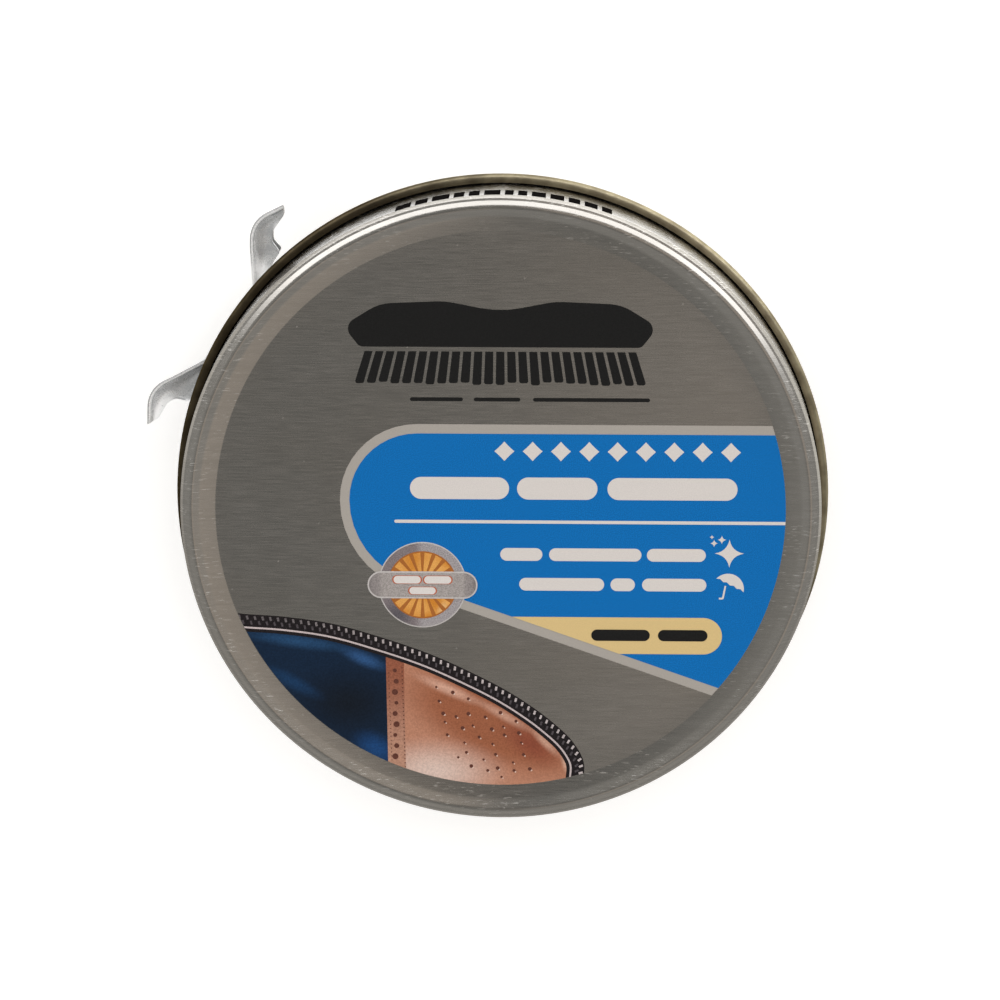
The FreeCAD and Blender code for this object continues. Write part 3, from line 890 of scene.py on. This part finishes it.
EMBLEM_X = -8.62
MEDAL_CENTRE = (EMBLEM_X, -8.3)
MEDAL_RADIUS = 4.9
BAND_HALF_LENGTH = 6.1
BAND_WIDTH = 3.1
RAYS = 18


def medal(inset):
    """A plain round medal."""
    return circle(MEDAL_CENTRE, MEDAL_RADIUS - inset, 72)


def medal_rays(near, far):
    """Wedges with even gaps, from near the middle to near the rim."""
    half = TURN / RAYS * 0.32
    wedges = []
    for k in range(RAYS):
        corners = [(near, -half), (far, -half), (far, half), (near, half)]
        angles = [(reach, TURN * k / RAYS + turn) for reach, turn in corners]
        wedges.append([Vector(MEDAL_CENTRE) + r * direction(a) for r, a in angles])
    return wedges


def build_emblem():
    steel = ink("steel", steel_tint, spread=0.32, dot=8.0)
    light = ink("light_steel", srgb(205, 200, 198), spread=0.10, dot=6.0)
    amber = ink("amber", amber_tint, spread=0.10, dot=8.0)
    field = ink("emblem_field", srgb(176, 108, 52), spread=0.10)
    slab("emblem_rim", [medal(0.0)], 2, light)
    slab("emblem_frame", [medal(0.13)], 3, steel)
    slab("emblem_field", [medal(1.05)], 4, field)
    slab("emblem_rays", medal_rays(0.9, MEDAL_RADIUS - 1.2), 5, amber)

    c, middle = MEDAL_CENTRE
    slab("emblem_band_rim", [band(0.0)], 6, light)
    slab("emblem_band", [band(0.17)], 7, ink("band", band_tint, spread=0.24, dot=8.0))
    marks = word_row([(c - 3.2, c - 0.2), (c + 0.2, c + 3.2)], middle + 0.6, 0.85)
    marks += word_row([(c - 1.45, c + 1.45)], middle - 0.65, 0.8)
    edges = [[p + (p - centroid(mark)).normalized() * 0.15 for p in mark] for mark in marks]
    slab("emblem_band_edges", edges, 8, ink("band_edge", srgb(196, 104, 70), spread=0.1))
    slab("emblem_band_words", marks, 9, ink("band_word", srgb(232, 226, 222), spread=0.05))


def band(inset):
    """A plain straight band across the medal."""
    c, middle = MEDAL_CENTRE
    return bar(c - BAND_HALF_LENGTH + inset, c + BAND_HALF_LENGTH - inset, middle, BAND_WIDTH - 2 * inset)


def band_tint(f):
    """Steel band, darker at its ends."""
    x, _, _ = f.parts(f.place())
    away = f.math("ABSOLUTE", f.math("SUBTRACT", x, EMBLEM_X))
    paint = f.mix(f.span(away, 4.4, 5.0), srgb(170, 163, 160), srgb(150, 143, 142))
    return f.mix(f.span(away, 5.3, 6.2), paint, srgb(120, 114, 114))


def centroid(points):
    return sum(points, Vector((0, 0))) / len(points)


def steel_tint(f):
    """Dark and light steel, as a bevelled frame shows it: light at the upper right, dark at the left."""
    x, _, _ = f.parts(f.place())
    across = f.span(x, EMBLEM_X - 1.0, EMBLEM_X + 0.2)
    paint = f.mix(across, srgb(134, 124, 126), srgb(166, 160, 162))
    return f.dabs(
        paint,
        ((-4.2, -3.4), (1.3, 1.2), 0, (225, 222, 224)),
        ((-9.4, -2.7), (1.5, 0.9), 0, (205, 200, 202)),
        ((-12.9, -4.2), (1.6, 1.8), 0, (80, 76, 78)),
        ((-11.5, -12.0), (2.5, 3.0), 0, (96, 92, 98)),
        ((-4.0, -8.7), (0.9, 1.0), 0, (215, 212, 216)),
    )


def amber_tint(f):
    """Warm amber, with a soft sheen in some places."""
    tone = f.noise(0.33, shift=(1, 6, 0), detail=1)
    paint = f.mix(f.span(tone, 0.35, 0.65), srgb(214, 138, 52), srgb(236, 172, 92))
    return f.dabs(
        paint,
        ((-10.2, -8.6), (1.0, 1.3), 0.5, (242, 202, 150)),
        ((-7.4, -7.8), (1.1, 0.6), 0, (240, 196, 138)),
        ((-6.4, -11.0), (0.7, 1.2), -0.5, (238, 190, 130)),
    )


# The toe of a plain two-tone brogue, cut off by the print circle
WELT = [(-31.6, -11.1), (-28.9, -11.75), (-24.0, -12.1), (-18.5, -12.9), (-12.6, -14.6), (-7.8, -16.3)]
WELT += [(-3.4, -18.3), (0.6, -20.4), (4.0, -22.65)]
WELT += [(6.4, -24.6), (7.9, -26.1), (9.0, -27.8), (9.4, -29.2), (9.3, -30.9)]


def smooth_run(points, count):
    """A Catmull-Rom curve through the points, at even spacing."""
    p = [Vector(q) for q in points]
    p = [2 * p[0] - p[1]] + p + [2 * p[-1] - p[-2]]
    out = []
    for a, b, c, d in zip(p, p[1:], p[2:], p[3:]):
        for t in (k / 12 for k in range(12)):
            bend, twist = 2 * a - 5 * b + 4 * c - d, 3 * b - a - 3 * c + d
            out.append(0.5 * (2 * b + (c - a) * t + bend * t * t + twist * t ** 3))
    return resampled(out + [p[-2]], count)


def ribbon(run, near, far):
    """The strip between two distances inwards of the welt's edge."""
    return offset(run, -near) + offset(run, -far)[::-1]


def leaning_window(left, right):
    """The room between two leaning lines, each given by where it crosses the foot and the head."""
    foot, head = -40, 0
    return [Vector(p) for p in ((left[0], foot), (right[0], foot), (right[1], head), (left[1], head))]


def build_toe():
    black = ink("welt", srgb(34, 30, 32), spread=0.35, dot=6.0)
    pale = ink("thread", srgb(206, 192, 192), spread=0.12, dot=6.0)
    run = smooth_run(WELT, 90)
    ground = run + [Vector((9.3, -33)), Vector((-31.6, -33))]
    slab("toe_edge", [ground[::-1]], 0, black)
    slab("toe_welt_line", [ribbon(run, 1.42, 1.62)[::-1]], 1, pale)
    stitches = []
    fine = smooth_run(WELT, 900)
    travelled = lengths(fine)
    pitch = 0.86
    spots = int(travelled[-1] / pitch)
    for k in range(1, spots):
        i = min(range(len(fine)), key=lambda n: abs(travelled[n] - k * pitch))
        if i < 2 or i > len(fine) - 3:
            continue
        along = (fine[i + 1] - fine[i - 1]).normalized()
        inward = Vector((along.y, -along.x))
        lean = (inward + along * 0.35).normalized()
        for depth, length, width in ((0.40, 0.46, 0.24), (0.98, 0.46, 0.22)):
            middle = fine[i] + lean * depth + along * (0.3 if depth > 0.5 else 0.0)
            a, b = lean * (length / 2), Vector((-lean.y, lean.x)) * (width / 2)
            stitches.append([middle - a - b, middle + a - b, middle + a + b, middle - a + b])
    slab("toe_stitches", stitches[0::2], 1, ink("stitch", stitch_tint, spread=0.3, dot=6.0))
    shade = ink("stitch_shade", srgb(82, 76, 80), spread=0.3, dot=6.0)
    slab("toe_stitch_shades", stitches[1::2], 1, shade)

    inner = offset(run, -2.0)
    shoe = ([inner[0]] + inner + [Vector((inner[-1].x, -33)), Vector((-31.6, -33))])[::-1]
    far_left, far_right = (-40, -40), (40, 40)
    seam_left, seam_right = (-12.4, -13.0), (-10.45, -10.95)
    vamp, strip, cap = (
        clipped(shoe, leaning_window(left, right))
        for left, right in ((far_left, seam_left), (seam_left, seam_right), (seam_right, far_right))
    )
    slab("toe_vamp", [vamp], 1, ink("navy", navy_tint, spread=0.16, dot=5.0))
    slab("toe_seam_strip", [strip], 1, ink("tan", tan_tint, spread=0.16, dot=5.0))
    slab("toe_cap", [cap], 1, ink("cap", cap_tint, spread=0.12, dot=5.0))

    dots, shines = [], []
    pick = random.Random(5)
    for k in range(9):
        y = -18.2 - 1.25 * k
        dots.append(circle((-11.75 + 0.15 * (k % 2), y), 0.22 + 0.06 * (k % 3), 14))
    for k in range(26):
        y = -17.9 - 0.46 * k
        dots.append(circle((-10.95 + 0.012 * k, y), 0.075, 8))
        dots.append(circle((-12.45 + 0.014 * k, y - 0.6), 0.06, 8))
    medallion = []
    for arm in range(7):
        for step in range(6):
            centre = Vector((-7.2, -20.2)) + Vector((1.75, -0.72)) * step + Vector((0.38, -1.38)) * arm
            centre += Vector((pick.uniform(-0.25, 0.25), pick.uniform(-0.25, 0.25)))
            if (2 * arm + step) % 7 == 3 or not on_cap(centre):
                continue
            medallion.append((centre, 0.13 + 0.04 * ((arm + 2 * step) % 3)))
    for centre, size in medallion:
        dots.append(circle(centre, size, 14))
        shines.append(circle(centre + Vector((0.16, -0.16)), size * 0.55, 10))
    slab("toe_shines", shines, 2, ink("shine", srgb(236, 206, 190), spread=0.08))
    slab("toe_perforations", dots, 3, ink("perforation", srgb(100, 60, 50), spread=0.2))


def stitch_tint(f):
    """Pale thread, dim at the left where the welt turns away from the light."""
    x, _, _ = f.parts(f.place())
    return f.mix(f.span(x, -26.0, -8.0), srgb(104, 98, 100), srgb(196, 186, 186))


def on_cap(p):
    return p.length < 30.6 and p.x < 8.0 - max(0.0, -p.y - 24.0) * 0.1 and p.y < -19.2 - 0.55 * (p.x + 3.4)


def navy_tint(f):
    """Polished navy leather: deep, with blue along its upper edge and two soft reflections."""
    paint = f.mix(f.blob((-17.0, -22.0), (9.0, 6.0)), srgb(20, 39, 62), srgb(20, 28, 39))
    return f.dabs(
        paint,
        ((-22.5, -14.9), (8.0, 1.1), -0.14, (38, 74, 112)),
        ((-15.2, -16.9), (3.6, 1.1), -0.40, (48, 86, 134)),
        ((-23.2, -19.6), (4.8, 1.2), -0.50, (26, 58, 94)),
        ((-13.9, -27.3), (3.6, 2.2), -0.55, (28, 70, 122)),
    )


def tan_tint(f):
    """Tan leather strip, darker at its top."""
    _, y, _ = f.parts(f.place())
    return f.mix(f.span(y, -29.0, -17.5), srgb(190, 144, 122), srgb(152, 92, 70))


def cap_tint(f):
    """Tan toe cap: a peach gleam inside its upper edge, brown in the middle, pale at the foot."""
    middle = f.blob((-1.0, -24.2), (14.0, 5.6), turn=-0.46, softness=0.6)
    paint = f.mix(middle, srgb(192, 136, 110), srgb(160, 98, 70))
    return f.dabs(
        paint,
        ((3.4, -26.6), (5.4, 2.6), -0.62, (144, 78, 58)),
        ((-5.8, -20.35), (5.4, 0.95), -0.42, (220, 172, 150)),
        ((0.4, -23.35), (5.0, 0.8), -0.52, (204, 156, 134)),
        ((5.0, -26.4), (3.2, 0.75), -0.80, (206, 160, 138)),
        ((7.3, -28.9), (1.9, 0.6), -1.30, (214, 170, 148)),
        ((-7.5, -30.0), (9.5, 4.6), -0.05, (226, 200, 188)),
    )


def build_skirt_print():
    """Plain blocks round the skirt, where the shade's name would be repeated."""
    bm = bmesh.new()
    pick = random.Random(3)
    low, high = 18.0, 20.92
    near, far = LID_RADIUS + 0.004, LID_RADIUS + 0.016
    at = 70.0
    while at < 108:
        wide = pick.uniform(1.5, 3.1)
        bearings = [math.radians(at + wide * k / 4) for k in range(5)]
        columns = []
        for b in bearings:
            out = direction(b)
            corners = ((near, low), (far, low), (far, high), (near, high))
            columns.append([bm.verts.new((*(out * r), z)) for r, z in corners])
        for a, b in zip(columns, columns[1:]):
            for k in range(4):
                bm.faces.new((a[k], b[k], b[(k + 1) % 4], a[(k + 1) % 4]))
        bm.faces.new(columns[0])
        bm.faces.new(columns[-1][::-1])
        at += wide + 0.8
    black = ink("skirt_black", srgb(20, 18, 18), spread=0.3, roughness=0.9, IOR=1.05)
    piece = finish_mesh("print_skirt", bm, [black], "lid")


# ---- Studio ----


def build_floor():
    bm = bmesh.new()
    corners = [Vector(way) * FLOOR_HALF_SIZE for way in ((-1, -1), (1, -1), (1, 1), (-1, 1))]
    bm.faces.new([bm.verts.new((x, y, 0)) for x, y in corners])
    glow = {"Emission_Color": (1, 1, 1), "Emission_Strength": 0.28}
    f = Finish("pale_floor", roughness=0.9, colour=(0.95, 0.95, 0.95), Specular_IOR_Level=0.0, **glow)
    floor = finish_mesh("floor", bm, [f.material], None)
    floor.location.z = -0.02 * MM
    floor.visible_glossy = False


class Sky(Finish):
    """World light by direction, with the same node names as a material."""

    def __init__(self):
        world = bpy.data.worlds.new("studio")
        bpy.context.scene.world = world
        world.use_nodes = True
        self.tree = world.node_tree
        self.shader = self.tree.nodes["Background"]

    def place(self):
        return self.node("ShaderNodeTexCoord").outputs["Generated"]

    def hypotenuse(self, a, b):
        return self.math("SQRT", self.math("ADD", self.math("POWER", a, 2.0), self.math("POWER", b, 2.0)))


def build_light():
    """A dim room with a wide bright window behind the tin, and a soft overhead fill."""
    s = Sky()
    x, y, z = s.parts(s.place())
    level = s.math("MAXIMUM", s.hypotenuse(x, y), 0.001)
    ahead = s.math("DIVIDE", s.blend((x, math.cos(WINDOW_BEARING)), (y, math.sin(WINDOW_BEARING))), level)

    ceiling = s.mix(s.span(x, -0.03, 0.04), (0.165, 0.165, 0.158), (0.46, 0.41, 0.36))
    ceiling = s.mix(s.span(x, -0.10, -0.20), ceiling, (0.30, 0.29, 0.27))
    spot = s.hypotenuse(x, s.math("ADD", y, 0.04))
    ceiling = s.mix(s.span(spot, 0.14, 0.04), ceiling, (0.05, 0.05, 0.05))
    walls = s.mix(s.span(z, -0.05, 0.05), (0.42, 0.40, 0.37), (0.34, 0.33, 0.31))
    room = s.mix(s.span(z, 0.60, 0.80), walls, ceiling)
    window = s.times(s.span(ahead, 0.30, 0.62), s.span(z, 0.52, 0.34))
    room = s.mix(s.times(window, s.span(z, -0.04, 0.04)), room, (2.7, 2.65, 2.6))
    table = s.times(s.span(ahead, -0.45, 0.0), s.span(z, 0.03, -0.03))
    table_tone = s.mix(s.span(x, -0.45, -0.12), (0.70, 0.67, 0.62), (0.92, 0.89, 0.82))
    right = s.math("DIVIDE", s.blend((x, 0.574), (y, 0.819)), level)
    gleam = s.times(s.span(right, 0.80, 0.98), s.span(z, -0.10, -0.35))
    table_tone = s.mix(gleam, table_tone, (2.2, 2.15, 2.0))
    room = s.mix(table, room, table_tone)
    room = s.mix(s.times(table, s.span(z, -0.82, -0.93)), room, (1.6, 1.6, 1.6))
    s.set("Color", room)
    s.set("Strength", 1.0)

    data = bpy.data.lights.new("overhead", "AREA")
    data.shape = "SQUARE"
    data.size = 2.4
    data.energy = OVERHEAD_POWER
    lamp = placed("overhead", data)
    lamp.location = (0, 0.1, 1.3)
    lamp.visible_glossy = False


def build_camera():
    """Looks down on the label, from a little beyond its top edge."""
    panel = Vector((0, 0, PANEL_LEVEL * MM))
    lean = Vector((math.cos(CAMERA_BEARING), math.sin(CAMERA_BEARING), 0)) * math.sin(CAMERA_TILT)
    data = bpy.data.cameras.new("camera")
    data.sensor_width = 36
    data.lens = CAMERA_LENS
    camera = placed("camera", data)
    camera.location = panel + (lean + Vector((0, 0, math.cos(CAMERA_TILT)))) * CAMERA_DISTANCE
    aim = panel + Vector((-0.03, 1.42, 0)) * MM
    back = (camera.location - aim).normalized()
    right = (Vector((1, 0, 0)) - back * back.x).normalized()
    right = Quaternion(back, CAMERA_ROLL) @ right
    up = back.cross(right)
    camera.rotation_mode = "QUATERNION"
    camera.rotation_quaternion = Matrix((right, up, back)).transposed().to_quaternion()
    data.clip_start, data.clip_end = 0.01, 20
    bpy.context.scene.camera = camera


build_lid()
build_base()
build_wax()
build_key()
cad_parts["opener_rivet"].data.materials[0] = bright_steel()
build_panel_print()
build_emblem()
build_toe()
build_skirt_print()
build_floor()
build_light()
build_camera()
bpy.context.scene.view_settings.view_transform = "Standard"

bpy.context.view_layer.update()
